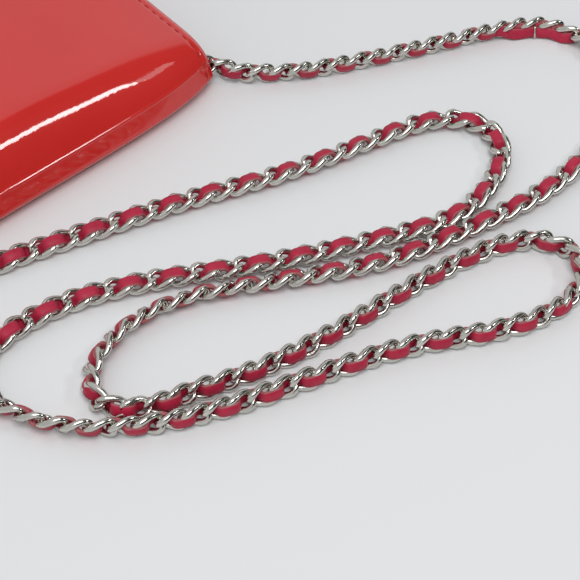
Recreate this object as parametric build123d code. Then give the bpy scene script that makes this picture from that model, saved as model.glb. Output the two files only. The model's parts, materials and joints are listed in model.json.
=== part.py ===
from build123d import *
import math
import os

# A slim flap clutch with a woven chain strap, lying on its back. Millimetres, +Z up.
# X runs along the fold, the mouth and the fold face -Y, and the back panel lies on z = 0.
# The origin is the middle of the bag's footprint. Right is +X.

# Driving dimensions: the closed bag
HALF_WIDTH = 95.0
FOLD_Y = -61.0
BASE_Y = 61.0
MOUTH_Y = -50.0  # where the fold meets the flat of the flap
CROWN_END = 14.5  # height of the flap's outer face at MOUTH_Y, at the bag's ends
CROWN_MIDDLE = 22.0  # and at the bag's middle
RISE_END = 0.120  # how fast that face rises towards the base, at the ends
RISE_MIDDLE = 0.055  # and in the middle
GLUE = 0.1  # between glued layers

# Leather, board and lining thicknesses
LEATHER = 1.1
BACK_LEATHER = 1.3
FLAP_BOARD = 0.5
FLAP_LINING = 0.7
FRONT_BOARD = 0.4
LINING = 0.5
FLAP_STACK = LEATHER + FLAP_BOARD + FLAP_LINING + 2 * GLUE
FLAP_TO_FRONT = 0.4  # air between the flap and the front of the bag
FRONT_DROP = FLAP_STACK + FLAP_TO_FRONT  # the front panel's outer face, below the flap's
FRONT_BOARD_DROP = FRONT_DROP + LEATHER + GLUE
FRONT_LINING_DROP = FRONT_BOARD_DROP + FRONT_BOARD + GLUE
INNER_DROP = FRONT_LINING_DROP + LINING  # the inside of the front, below the flap's face

# Flap
FLAP_HALF = 94.7
FLAP_START_Y = MOUTH_Y + 0.3
FLAP_FREE_Y = 38.0
FLAP_CORNER = 20.0
FLAP_LINING_START_Y = -46.0

# Front of the bag, which swings open at the base
FRONT_HALF = 92.0
FRONT_MOUTH_Y = -45.0
FRONT_BASE_Y = 57.2

# Back of the bag: heights of its layers
BOARD_Z = BACK_LEATHER + GLUE
BOARD = 0.6
LINING_Z = BOARD_Z + BOARD + GLUE
FLOOR_Z = LINING_Z + LINING
BACK_HALF = 93.0
BACK_MOUTH_Y = -56.5

# Base wall
BASE_LEATHER = 1.3
BASE_BOARD = 0.6

# Gussets: a leather V at each end, folded inwards
GUSSET_OUTER_X = 92.0
GUSSET_DEPTH = 3.2
GUSSET_LEATHER = 1.0

# Card slots: two columns of three
SLOT_LEATHER = 0.5
SLOT_INNER_X = 0.6
SLOT_OUTER_X = 87.0
SLOT_BASE_Y = 34.0
SLOT_MOUTHS_Y = (-36.0, -26.0, -16.0)

# Zip pocket
POCKET_HALF = 78.0
POCKET_MOUTH_Y = -41.5
POCKET_BASE_Y = 48.0
POCKET_WALL = 0.5
POCKET_REAR_Z = 9.4
POCKET_FRONT_Z = 11.3
TAPE = 0.3
TAPE_DEPTH = 11.0
TEETH_HALF = 74.0
TOOTH_PITCH = 2.0
TOOTH_GAP = 0.1
TEETH_Z = 10.65  # the line where the two rows mesh
TEETH_REACH = 1.55  # from that line to a row's outer edge
TOOTH_REACH = 0.55  # from that line to a tooth's tip
TEETH_FRONT_Y = -45.2
TEETH_THICK = 1.5
SLIDER_X = 66.0
SLIDER_LENGTH = 8.0
SLIDER_WALL = 0.7
SLIDER_CLEARANCE = 0.25
PULL_PIVOT_Y = -47.6
PULL_PIN_RADIUS = 0.5
PULL_LENGTH = 10.5

# Hidden magnetic snap
SNAP_Y = 22.0
SNAP_RADIUS = 6.5
SNAP_STUD_RADIUS = 2.2
SNAP_SOCKET_RADIUS = 2.7
SNAP_NECK_RADIUS = 3.2
SNAP_FIT = 0.1

# Ring at each end, which the strap hangs from
RING_X = 82.0
RING_Y = -55.6
RING_Z = 6.4
RING_WIRE_RADIUS = 0.8
RING_HALF_HEIGHT = 3.5
RING_LEG = 2.0
TAB_FIT = 0.05
TAB_LOOP_RADIUS = 1.9
TAB_HALF_HEIGHT = 2.5
TAB_THICK = 1.8
RIVET_X = 74.0
RIVET_Y = -46.0
RIVET_RADIUS = 1.2
RIVET_HEAD_RADIUS = 2.4
RIVET_FIT = 0.05

# Chain strap: the centre line's corners, from the right ring to the left one
STRAP_DIAMETER = 6.4
STRAP_Z = 3.3
STRAP_ROUTE = [
    (89.4, -55.9, 5.4),
    (94.8, -55.6, 5.2),
    (98.6, -58.8, 4.4),
    (101, -64, 3.7),
    (107.5, -70, STRAP_Z),
    (118, -78, STRAP_Z),
    (136, -87, STRAP_Z),
    (156, -96, STRAP_Z),
    (174, -103.5, STRAP_Z),
    (185.5, -111, STRAP_Z),
    (188, -124, STRAP_Z),
    (186, -140, STRAP_Z),
    (173, -153, STRAP_Z),
    (152, -157.5, STRAP_Z),
    (128, -160, STRAP_Z),
    (102, -155, STRAP_Z),
    (76, -148.5, STRAP_Z),
    (52, -134, STRAP_Z),
    (34, -123, STRAP_Z),
    (19, -118.5, STRAP_Z),
    (5, -120, STRAP_Z),
    (-5, -125.5, STRAP_Z),
    (-9, -135, STRAP_Z),
    (-2, -143.5, STRAP_Z),
    (10, -147, STRAP_Z),
    (27, -153.5, STRAP_Z),
    (50, -157.5, STRAP_Z),
    (77, -159.5, STRAP_Z),
    (98, -163, STRAP_Z),
    (111, -169, STRAP_Z),
    (116, -180, STRAP_Z),
    (109, -188.5, STRAP_Z),
    (97, -191.5, STRAP_Z),
    (80, -186, STRAP_Z),
    (60, -173, STRAP_Z),
    (35, -164, STRAP_Z),
    (12, -156.5, STRAP_Z),
    (-7, -146.5, STRAP_Z),
    (-21, -132, STRAP_Z),
    (-27, -116, STRAP_Z),
    (-24, -103.5, STRAP_Z),
    (-10, -99.5, STRAP_Z),
    (9, -102, STRAP_Z),
    (30, -112, STRAP_Z),
    (53, -127, STRAP_Z),
    (80, -140.5, STRAP_Z),
    (103, -150.5, STRAP_Z),
    (122, -147, STRAP_Z),
    (134, -139, STRAP_Z),
    (137, -127.5, STRAP_Z),
    (128, -117, STRAP_Z),
    (109, -112, STRAP_Z),
    (82, -105.5, STRAP_Z),
    (54, -94, STRAP_Z),
    (25, -85, STRAP_Z),
    (-1, -77, STRAP_Z),
    (-35, -77, STRAP_Z),
    (-67, -83.5, STRAP_Z),
    (-94, -87, STRAP_Z),
    (-116, -86, STRAP_Z),
    (-132, -73, STRAP_Z),
    (-134, -53, STRAP_Z),
    (-120, -41, STRAP_Z),
    (-105, -44.5, 4.0),
    (-97.2, -53.5, 5.0),
    (-89.4, -55.9, 5.4),
]


def save(name, shape):
    shape.label = name
    export_step(shape, "parts/" + name + ".step")


def crown(x, y):
    """Height of the flap's outer face above the table, carried on under the fold and over the base."""
    end = CROWN_END + RISE_END * (y - MOUTH_Y)
    middle = CROWN_MIDDLE + RISE_MIDDLE * (y - MOUTH_Y)
    return end + (middle - end) * (1 - (x / HALF_WIDTH) ** 2)


def slab(x0, x1, y0, y1, z0, z1):
    """A block between two corners."""
    size = (x1 - x0, y1 - y0, z1 - z0)
    return Pos((x0 + x1) / 2, (y0 + y1) / 2, (z0 + z1) / 2) * Box(*size)


def disc(x, y, z0, z1, radius):
    """An upright cylinder from z0 to z1."""
    return Pos(x, y, (z0 + z1) / 2) * Cylinder(radius, z1 - z0)


def cross_plane(y):
    """The plane at y whose own axes are X and Z."""
    return Plane(origin=(0, y, 0), x_dir=(1, 0, 0), z_dir=(0, -1, 0))


def arched_face(y, half, drop, thickness):
    """A thin arched section at y, its top the given drop below the crown."""
    top_end = crown(half, y) - drop
    top_middle = crown(0, y) - drop
    top = ThreePointArc((-half, top_end), (0, top_middle), (half, top_end))
    right = Line((half, top_end), (half, top_end - thickness))
    bottom = ThreePointArc(
        (half, top_end - thickness), (0, top_middle - thickness), (-half, top_end - thickness)
    )
    left = Line((-half, top_end - thickness), (-half, top_end))
    return cross_plane(y) * make_face([top, right, bottom, left])


def arched_plate(y0, y1, half, drop, thickness):
    """A sheet that follows the crown from y0 to y1."""
    faces = [arched_face(y0, half, drop, thickness), arched_face(y1, half, drop, thickness)]
    return loft(faces, ruled=True)


def snap_disc(drop0, drop1, radius):
    """A disc of the snap, square to the flap, between two depths below its face."""
    tilt = math.degrees(math.atan(RISE_MIDDLE))
    place = Pos(0, SNAP_Y, crown(0, SNAP_Y)) * Rot(tilt, 0, 0) * Pos(0, 0, -(drop0 + drop1) / 2)
    return place * Cylinder(radius, drop1 - drop0)


def rounded_outline(half, y0, y1, radius):
    """A tall block whose two corners at y1 are rounded."""
    block = slab(-half, half, y0, y1, -5, 45)
    corners = block.edges().filter_by(Axis.Z).sort_by(Axis.Y)[-2:]
    return fillet(corners, radius)


def base_wall(y0, y1, half, z0, drop):
    """An upright wall across the base, its top arched like the crown."""
    top_end = crown(half, y1) - drop
    top_middle = crown(0, y1) - drop
    top = ThreePointArc((-half, top_end), (0, top_middle), (half, top_end))
    rest = Polyline((half, top_end), (half, z0), (-half, z0), (-half, top_end))
    return extrude(cross_plane(y1) * make_face([top, rest]), y1 - y0)


def back():
    """The back: outer leather, board and lining, with the rivets' holes."""
    panel = slab(-BACK_HALF, BACK_HALF, BACK_MOUTH_Y, BASE_Y, 0, BACK_LEATHER)
    corners = panel.edges().filter_by(Axis.Z).sort_by(Axis.Y)[-2:]
    save("back_panel", fillet(corners, 3))
    board = slab(-89, 89, -52, 57, BOARD_Z, BOARD_Z + BOARD)
    lining = slab(-91, 91, -52, 58.2, LINING_Z, FLOOR_Z)
    for side in (-1, 1):
        hole = disc(side * RIVET_X, RIVET_Y, 0, 10, RIVET_RADIUS + RIVET_FIT)
        board -= hole
        lining -= hole
    save("back_board", board)
    save("back_lining", lining)


def base():
    """The base wall: outer leather, board and lining."""
    leather_y = BASE_Y - BASE_LEATHER
    board_y = leather_y - GLUE - BASE_BOARD
    lining_y = board_y - GLUE - LINING
    z0 = BACK_LEATHER + GLUE
    save("base_panel", base_wall(leather_y, BASE_Y, FRONT_HALF, z0, FRONT_DROP))
    save("base_board", base_wall(board_y, leather_y - GLUE, 88, FLOOR_Z, FRONT_DROP + 2))
    save("base_lining", base_wall(lining_y, board_y - GLUE, 90, FLOOR_Z + GLUE, FRONT_DROP + 2))


def fold_section(x):
    """The fold's section at x: a low quarter turn off the table and a tall one up to the flap."""
    low_z = 4.0
    height = crown(x, MOUTH_Y)
    reach = MOUTH_Y - FOLD_Y
    low_reach = BACK_MOUTH_Y - GLUE - FOLD_Y
    low_y = FOLD_Y + low_reach
    plane = Plane(origin=(x, 0, 0), x_dir=(0, 1, 0), z_dir=(1, 0, 0))

    def quarter(y, across, up, start):
        return EllipticalCenterArc((y, low_z), across, up, start_angle=start, arc_size=90)

    outer_low = quarter(low_y, low_reach, low_z, 180)
    outer_high = quarter(MOUTH_Y, reach, height - low_z, 90)
    inner_low = quarter(low_y, low_reach - BACK_LEATHER, low_z - BACK_LEATHER, 180)
    inner_high = quarter(MOUTH_Y, reach - BACK_LEATHER, height - low_z - BACK_LEATHER, 90)
    top_edge = Line((MOUTH_Y, height - BACK_LEATHER), (MOUTH_Y, height))
    low_edge = Line((low_y, 0), (low_y, BACK_LEATHER))
    return plane * make_face([outer_low, outer_high, top_edge, inner_high, inner_low, low_edge])


def fold():
    """The leather that turns from the back, round the mouth, onto the flap."""
    stations = (-FLAP_HALF, -72, -40, 0, 40, 72, FLAP_HALF)
    save("flap_fold", loft([fold_section(x) for x in stations], ruled=True))


def flap():
    """The flap: outer leather, board and lining, with the snap's holes."""
    outer = arched_plate(FLAP_START_Y, FLAP_FREE_Y, FLAP_HALF, 0, LEATHER)
    outer &= rounded_outline(FLAP_HALF + 1, FLAP_START_Y - 1, FLAP_FREE_Y, FLAP_CORNER)
    save("flap_outer", outer)
    board_drop = LEATHER + GLUE
    board = arched_plate(FLAP_LINING_START_Y, FLAP_FREE_Y - 3, FLAP_HALF - 4, board_drop, FLAP_BOARD)
    board &= rounded_outline(FLAP_HALF, FLAP_LINING_START_Y - 1, FLAP_FREE_Y - 3, FLAP_CORNER - 3)
    board -= snap_disc(0, 20, SNAP_RADIUS + SNAP_FIT)
    save("flap_board", board)
    lining_drop = board_drop + FLAP_BOARD + GLUE
    lining = arched_plate(
        FLAP_LINING_START_Y, FLAP_FREE_Y - 0.5, FLAP_HALF - 0.5, lining_drop, FLAP_LINING
    )
    lining &= rounded_outline(FLAP_HALF, FLAP_LINING_START_Y - 1, FLAP_FREE_Y - 0.5, FLAP_CORNER)
    lining -= snap_disc(0, 20, SNAP_RADIUS + SNAP_FIT)
    save("flap_lining", lining)


def front():
    """The front of the bag under the flap: outer leather, board and lining, with the snap's holes."""
    panel = arched_plate(FRONT_MOUTH_Y, FRONT_BASE_Y, FRONT_HALF, FRONT_DROP, LEATHER)
    panel -= snap_disc(0, 20, SNAP_RADIUS + SNAP_FIT)
    save("front_panel", panel)
    neck = snap_disc(0, 20, SNAP_NECK_RADIUS + SNAP_FIT)
    board = arched_plate(FRONT_MOUTH_Y + 3, FRONT_BASE_Y - 3, 88, FRONT_BOARD_DROP, FRONT_BOARD)
    save("front_board", board - neck)
    lining = arched_plate(FRONT_MOUTH_Y, FRONT_BASE_Y, 90, FRONT_LINING_DROP, LINING)
    save("front_lining", lining - neck)


def snap():
    """A magnetic snap: a backed stud in the flap and a socket in the front with its washer."""
    board_drop = LEATHER + GLUE
    lining_drop = board_drop + FLAP_BOARD + GLUE
    save("snap_plate", snap_disc(board_drop, board_drop + FLAP_BOARD - 0.05, SNAP_RADIUS))
    stud = snap_disc(lining_drop, FLAP_STACK - 0.05, SNAP_RADIUS)
    stud += snap_disc(FLAP_STACK - 0.05, FRONT_DROP + 0.8, SNAP_STUD_RADIUS)
    save("snap_stud", stud)
    seat_drop = FRONT_DROP + LEATHER - 0.05
    washer_drop = INNER_DROP + 0.15
    end_drop = washer_drop + 0.4
    socket = snap_disc(FRONT_DROP + 0.05, seat_drop, SNAP_RADIUS)
    socket += snap_disc(seat_drop, end_drop, SNAP_NECK_RADIUS)
    socket -= snap_disc(FRONT_DROP - 1, FRONT_DROP + 1.7, SNAP_SOCKET_RADIUS)
    save("snap_socket", socket)
    washer = snap_disc(washer_drop, end_drop, SNAP_RADIUS)
    save("snap_washer", washer - snap_disc(0, 20, SNAP_NECK_RADIUS + RIVET_FIT))


def gusset_section(y, side):
    """The gusset's V at y, opening outwards."""
    low = FLOOR_Z + GLUE
    high = crown(GUSSET_OUTER_X, y) - INNER_DROP - 0.2
    middle = (low + high) / 2
    outer = side * GUSSET_OUTER_X
    inner = side * (GUSSET_OUTER_X - GUSSET_DEPTH)
    skin = side * GUSSET_LEATHER
    points = [
        (outer, low),
        (inner, middle),
        (outer, high),
        (outer - skin, high),
        (inner - skin, middle),
        (outer - skin, low),
    ]
    return cross_plane(y) * make_face(Polyline(*points, close=True))


def gussets():
    for name, side in (("left", -1), ("right", 1)):
        sections = [gusset_section(FRONT_MOUTH_Y, side), gusset_section(FRONT_BASE_Y, side)]
        save("gusset_" + name, loft(sections, ruled=True))


def card_slots():
    """Six card slots on the back lining: each is a leather panel, stepped behind the next."""
    backing_z = FLOOR_Z + GLUE
    backing = slab(-SLOT_OUTER_X, SLOT_OUTER_X, -38, SLOT_BASE_Y + 1, backing_z, backing_z + SLOT_LEATHER)
    save("card_backing", backing)
    for row, mouth_y in enumerate(SLOT_MOUTHS_Y):
        z0 = backing_z + (row + 1) * (SLOT_LEATHER + GLUE)
        for column, side in (("left", -1), ("right", 1)):
            x0, x1 = sorted((side * SLOT_INNER_X, side * SLOT_OUTER_X))
            panel = slab(x0, x1, mouth_y, SLOT_BASE_Y, z0, z0 + SLOT_LEATHER)
            save("card_slot_" + column + "_" + str(row + 1), panel)


def zip_pocket():
    """A flat pocket between the two compartments: its walls and the zipper's tapes."""
    for name, z0, tape_z in (
        ("rear", POCKET_REAR_Z, POCKET_REAR_Z + POCKET_WALL + GLUE),
        ("front", POCKET_FRONT_Z, POCKET_FRONT_Z - GLUE - TAPE),
    ):
        wall = slab(
            -POCKET_HALF, POCKET_HALF, POCKET_MOUTH_Y, POCKET_BASE_Y, z0, z0 + POCKET_WALL
        )
        save("pocket_wall_" + name, wall)
        tape_y = TEETH_FRONT_Y + TEETH_THICK + GLUE
        tape = slab(
            -TEETH_HALF - 2, TEETH_HALF + 2, tape_y, tape_y + TAPE_DEPTH, tape_z, tape_z + TAPE
        )
        save("zipper_tape_" + name, tape)


def teeth_row(direction):
    """One row of the zipper: a bead with teeth that reach past the meshing line."""
    count = round(2 * TEETH_HALF / TOOTH_PITCH)
    shift = 0.0 if direction > 0 else TOOTH_PITCH / 2
    edge = TEETH_Z - direction * TEETH_REACH
    root = TEETH_Z - direction * (TOOTH_REACH + TOOTH_GAP)
    tip = TEETH_Z + direction * TOOTH_REACH
    points = [(-TEETH_HALF, edge), (-TEETH_HALF, root)]
    for index in range(count):
        x0 = -TEETH_HALF + shift + index * TOOTH_PITCH + TOOTH_GAP / 2
        x1 = x0 + TOOTH_PITCH / 2 - TOOTH_GAP
        points += [(x0, root), (x0, tip), (x1, tip), (x1, root)]
    points += [(TEETH_HALF, root), (TEETH_HALF, edge)]
    outline = cross_plane(TEETH_FRONT_Y) * make_face(Polyline(*points, close=True))
    return extrude(outline, -TEETH_THICK)


def zipper():
    """The zipper's teeth, end stops, slider and pull."""
    save("zipper_teeth_rear", teeth_row(1))
    save("zipper_teeth_front", teeth_row(-1))
    for name, side in (("left", -1), ("right", 1)):
        x0, x1 = sorted((side * (TEETH_HALF + GLUE), side * (TEETH_HALF + 1.9)))
        stop = slab(
            x0,
            x1,
            TEETH_FRONT_Y - 0.2,
            TEETH_FRONT_Y + TEETH_THICK,
            TEETH_Z - TEETH_REACH,
            TEETH_Z + TEETH_REACH,
        )
        save("zipper_stop_" + name, stop)
    inner_half = TEETH_REACH + SLIDER_CLEARANCE
    outer_half = inner_half + SLIDER_WALL
    y0 = TEETH_FRONT_Y - SLIDER_CLEARANCE - SLIDER_WALL
    y1 = TEETH_FRONT_Y + TEETH_THICK + SLIDER_CLEARANCE
    x0 = SLIDER_X - SLIDER_LENGTH / 2
    x1 = SLIDER_X + SLIDER_LENGTH / 2
    block = slab(x0, x1, y0, y1 + 0.5, TEETH_Z - outer_half, TEETH_Z + outer_half)
    slider = fillet(block.edges().filter_by(Axis.Y), 0.6)
    channel_z = (TEETH_Z - inner_half, TEETH_Z + inner_half)
    slider -= slab(x0 - 1, x1 + 1, y0 + SLIDER_WALL, y1, *channel_z)
    lip = inner_half - 0.35
    slider -= slab(x0 - 1, x1 + 1, y1 - 1, y1 + 1, TEETH_Z - lip, TEETH_Z + lip)
    lug = slab(SLIDER_X - 1.1, SLIDER_X + 1.1, PULL_PIVOT_Y - 0.9, y0 + 0.1, TEETH_Z - 0.9, TEETH_Z + 0.9)
    slider += lug
    slider -= disc(SLIDER_X, PULL_PIVOT_Y, TEETH_Z - 3, TEETH_Z + 3, PULL_PIN_RADIUS + TAB_FIT)
    save("zipper_slider", slider)
    pull = disc(SLIDER_X, PULL_PIVOT_Y, TEETH_Z - 2.4, TEETH_Z + 2.4, PULL_PIN_RADIUS)
    for side in (-1, 1):
        z0, z1 = sorted((TEETH_Z + side * 1.1, TEETH_Z + side * 2.4))
        pull += slab(SLIDER_X - 4.2, SLIDER_X + 0.6, PULL_PIVOT_Y - 0.45, PULL_PIVOT_Y + 0.45, z0, z1)
    paddle = slab(
        SLIDER_X - PULL_LENGTH,
        SLIDER_X - 3.0,
        PULL_PIVOT_Y - 0.45,
        PULL_PIVOT_Y + 0.45,
        TEETH_Z - 2.4,
        TEETH_Z + 2.4,
    )
    tips = paddle.edges().filter_by(Axis.Y).group_by(Axis.X)[0]
    save("zipper_pull", pull + fillet(tips, 1.6))


def ring(side):
    """A D-ring on edge: an upright bar and a bow that reaches outwards."""
    bar_x = side * RING_X
    leg_x = side * (RING_X + RING_LEG)
    bow_x = side * (RING_X + RING_LEG + RING_HALF_HEIGHT)
    low = RING_Z - RING_HALF_HEIGHT
    high = RING_Z + RING_HALF_HEIGHT
    legs_up = Line((bar_x, RING_Y, low), (leg_x, RING_Y, low))
    bow = ThreePointArc((leg_x, RING_Y, low), (bow_x, RING_Y, RING_Z), (leg_x, RING_Y, high))
    legs_back = Line((leg_x, RING_Y, high), (bar_x, RING_Y, high))
    path = Wire([legs_up, bow, legs_back])
    section = Plane(origin=(bar_x, RING_Y, low), z_dir=(side, 0, 0)) * Circle(RING_WIRE_RADIUS)
    half = RING_HALF_HEIGHT + RING_WIRE_RADIUS
    return sweep(section, path=path) + disc(bar_x, RING_Y, RING_Z - half, RING_Z + half, RING_WIRE_RADIUS)


def ring_tab(side):
    """A leather tab: a loop round the ring's bar, an upright strip and a riveted foot."""
    x = side * RING_X
    z0 = RING_Z - TAB_HALF_HEIGHT
    z1 = RING_Z + TAB_HALF_HEIGHT
    tab = disc(x, RING_Y, z0, z1, TAB_LOOP_RADIUS)
    tab += slab(x - TAB_THICK / 2, x + TAB_THICK / 2, RING_Y, RIVET_Y + 3.5, z0, z1)
    foot_z = FLOOR_Z + GLUE
    foot_x = sorted((side * (RIVET_X - 4), x + side * TAB_THICK / 2))
    tab += slab(*foot_x, RIVET_Y - 4, RIVET_Y + 3.5, foot_z, z0 + 0.2)
    tab -= disc(x, RING_Y, z0 - 1, z1 + 1, RING_WIRE_RADIUS + TAB_FIT)
    tab -= disc(side * RIVET_X, RIVET_Y, 0, 20, RIVET_RADIUS + RIVET_FIT)
    return tab


def tab_rivet(side):
    """A rivet through the tab's foot, the lining and the board."""
    head_z = RING_Z - TAB_HALF_HEIGHT + 0.2
    shank = disc(side * RIVET_X, RIVET_Y, BOARD_Z, head_z + 0.3, RIVET_RADIUS)
    head = disc(side * RIVET_X, RIVET_Y, head_z, head_z + 0.8, RIVET_HEAD_RADIUS)
    return shank + fillet(head.edges().group_by(Axis.Z)[-1], 0.5)


def strap_rings():
    for name, side in (("left", -1), ("right", 1)):
        save("d_ring_" + name, ring(side))
        save("ring_tab_" + name, ring_tab(side))
        save("tab_rivet_" + name, tab_rivet(side))


def chain_strap():
    """The strap's space: a tube of straight runs and the largest arcs that they allow."""
    points = [Vector(*point) for point in STRAP_ROUTE]
    radii = []
    for before, here, after in zip(points, points[1:], points[2:]):
        shorter = min((here - before).length, (after - here).length)
        turn = math.radians((here - before).get_angle(after - here))
        radii.append(0.45 * shorter / math.tan(turn / 2))
    print("strap radii, mm:", [round(radius, 1) for radius in radii])
    path = FilletPolyline(*points, radius=radii)
    start = Plane(origin=points[0], z_dir=points[1] - points[0])
    tube = sweep(start * Circle(STRAP_DIAMETER / 2), path=path)
    section_area = math.pi * (STRAP_DIAMETER / 2) ** 2
    print("strap length", round(path.length, 1), "volume share", round(tube.volume / (section_area * path.length), 4))
    save("chain_strap", tube)


os.makedirs("parts", exist_ok=True)
back()
base()
fold()
flap()
front()
snap()
gussets()
card_slots()
zip_pocket()
zipper()
strap_rings()
chain_strap()
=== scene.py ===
import json
import math
import random

import bmesh
import bpy
import numpy as np
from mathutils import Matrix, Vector, noise


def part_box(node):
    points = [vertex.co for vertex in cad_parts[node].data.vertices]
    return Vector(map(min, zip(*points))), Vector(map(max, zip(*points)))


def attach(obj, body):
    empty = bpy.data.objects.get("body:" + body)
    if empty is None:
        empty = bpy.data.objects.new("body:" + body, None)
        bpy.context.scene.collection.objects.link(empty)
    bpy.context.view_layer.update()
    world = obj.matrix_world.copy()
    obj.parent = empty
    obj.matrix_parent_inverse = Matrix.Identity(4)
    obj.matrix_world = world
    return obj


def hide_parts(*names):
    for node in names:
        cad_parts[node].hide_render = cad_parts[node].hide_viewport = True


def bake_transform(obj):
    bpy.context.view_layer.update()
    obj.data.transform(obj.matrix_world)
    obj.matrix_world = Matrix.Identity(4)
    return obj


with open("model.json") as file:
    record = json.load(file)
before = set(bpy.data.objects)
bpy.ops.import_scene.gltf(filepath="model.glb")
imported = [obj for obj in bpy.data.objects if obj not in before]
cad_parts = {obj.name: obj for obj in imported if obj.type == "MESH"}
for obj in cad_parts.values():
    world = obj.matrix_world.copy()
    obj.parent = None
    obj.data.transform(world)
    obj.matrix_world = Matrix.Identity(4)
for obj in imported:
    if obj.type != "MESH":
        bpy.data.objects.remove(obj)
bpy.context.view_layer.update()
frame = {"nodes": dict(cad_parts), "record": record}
nodes = frame["nodes"]

MM = 0.001
UP = np.array((0.0, 0.0, 1.0))

# The bag's outline, read from the frame
FLAP_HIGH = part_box("flap_outer")[1]
FOLD_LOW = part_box("flap_fold")[0]
BACK_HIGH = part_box("back_panel")[1]
FRONT_LOW, FRONT_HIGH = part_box("front_panel")
GUSSET_LOW, GUSSET_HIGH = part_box("gusset_right")
FLAP_HALF = FLAP_HIGH.x
FLAP_FREE_Y = FLAP_HIGH.y
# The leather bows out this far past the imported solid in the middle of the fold, and not at its ends
FOLD_BOW = 5.3 * MM
FOLD_Y = FOLD_LOW.y - FOLD_BOW  # the fold's outermost line, in the middle
BASE_Y = BACK_HIGH.y
FRONT_HALF = FRONT_HIGH.x
LINING_START_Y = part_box("flap_lining")[0].y
BACK_END_Y = BASE_Y - 1.5 * MM
BACK_NARROW_Y = -55 * MM  # from here the back narrows from the flap's width to the front's
BACK_NARROW_FADE = 14 * MM
BACK_NARROW = 1 - (FRONT_HALF + 0.4 * MM) / FLAP_HALF
GUSSET_DEPTH = 3.4 * MM
GUSSET_DROP = 4.6 * MM  # from the flap's face down to the gusset's upper edge
FLAP_CORNER = 20 * MM

# The outer leather's crown: how high the flap's face stands at the end and in the middle
MOUTH_Y = -50 * MM
CROWN_END = 14.4 * MM
CROWN_MIDDLE = 22.2 * MM
RISE_END = 0.120
RISE_MIDDLE = 0.055
LEATHER = 1.1 * MM
FULL_END_Y = 28 * MM  # the extra fullness near the fold has gone by here
FULL_FADE = 23 * MM
INNER_END = 14.5 * MM
INNER_MIDDLE = 22 * MM
INNER_HALF = 95 * MM
FRONT_DROP = 2.75 * MM  # from the flap's face down to the front's face
FLAP_LINING_DROP = 2.38 * MM  # from the flap's face down to the lining's face
FLAP_LINING = 0.7 * MM
BASE_ROUND = 4 * MM
SNAP = (0.0, 22 * MM)
SNAP_HOLE = 5.9 * MM

# The fold's section
RIDGE_Z = 4.2 * MM  # where the fold reaches furthest out
UNDER_REACH = 5.0 * MM  # from the ridge inwards to where the leather meets the table
CREASE_Z = 9.4 * MM  # a fine line pressed out along the fold
CREASE_STEPS = np.array((-0.32, -0.15, 0.0, 0.15, 0.32))
CREASE_LIFT = np.array((0.0, 0.04, 0.11, 0.04, 0.0))
FOLD_LEAN = math.radians(20)  # how far the leather leans inwards from the ridge to the crease
UPPER_LEAN = math.radians(34)  # and above the crease
UPPER_PULL = 0.71  # how far the upper part runs on before it rounds over
TOP_PULL = 0.37  # how far the flap's slope runs back before it rounds over
BOW_POWER = 7  # the bow stays full until near the ends
BACK_ROWS = 25
UNDER_ROWS = 9
LOWER_ROWS = 7
OVER_ROWS = 34
FLAP_ROWS = 68
RIPPLE_FOLD = 0.03  # unevenness of the fold, in mm
RIPPLE_FLAP = 0.32  # and how much more the flap has
RIPPLE_START = 8 * MM
RIPPLE_RISE = 10 * MM

# Stitching
STITCH_INSET = 2.7 * MM
STITCH_PITCH = 3.3 * MM
STITCH_LENGTH = 2.3 * MM
STITCH_RADIUS = 0.22 * MM
SEAM_GROOVE = 0.24  # depth of the groove at a seam, in mm
SEAM_WIDTH = 0.6 * MM
RIM_DROP = 0.55  # how far the rim is rolled down, in mm
RIM_WIDTH = 0.9 * MM

# The woven chain strap
STRAP_Z = 3.3
REPEAT = 11.4 * MM  # two links
LINK_PITCH = REPEAT / 2
WIRE_RADIUS = 0.86 * MM
LINK_HALF_LENGTH = LINK_PITCH / 2 + 0.7 * WIRE_RADIUS
LINK_HALF_WIDTH = 2.30 * MM
LINK_HALF_THICK = 1.75 * MM  # the links' faces are ground flat this far from the middle
LINK_SQUARENESS = 0.66  # 1 would be an ellipse
LINK_LEAN = 5  # the most that a link leans to either side, in degrees
WIRE_STEPS = 28
WIRE_SIDES = 10
LINK_TWIST = math.radians(-50)  # how far each end is turned out of the link's middle
LACE_WIDTH = 3.3 * MM
LACE_THICK = 0.9 * MM
LACE_SWING = 1.38 * MM  # how far the lace stands off the strap's middle as it passes a joint
LACE_STEPS = 36  # rows of the lace in one repeat
LACE_SNAP = 3.2  # how sharply the lace crosses from one side to the other
FLAT_DROP = 0.35 * MM  # how much lower the strap sits where it lies flat
LIFTED_Z = 3.4 * MM  # above this the strap is off the table
END_LINKS = 3  # how many links at each end move with the ring
JOIN_FROM = (171, -102, STRAP_Z)  # where the lace's two ends overlap, on the route
JOIN_TO = (186, -118, STRAP_Z)

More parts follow.
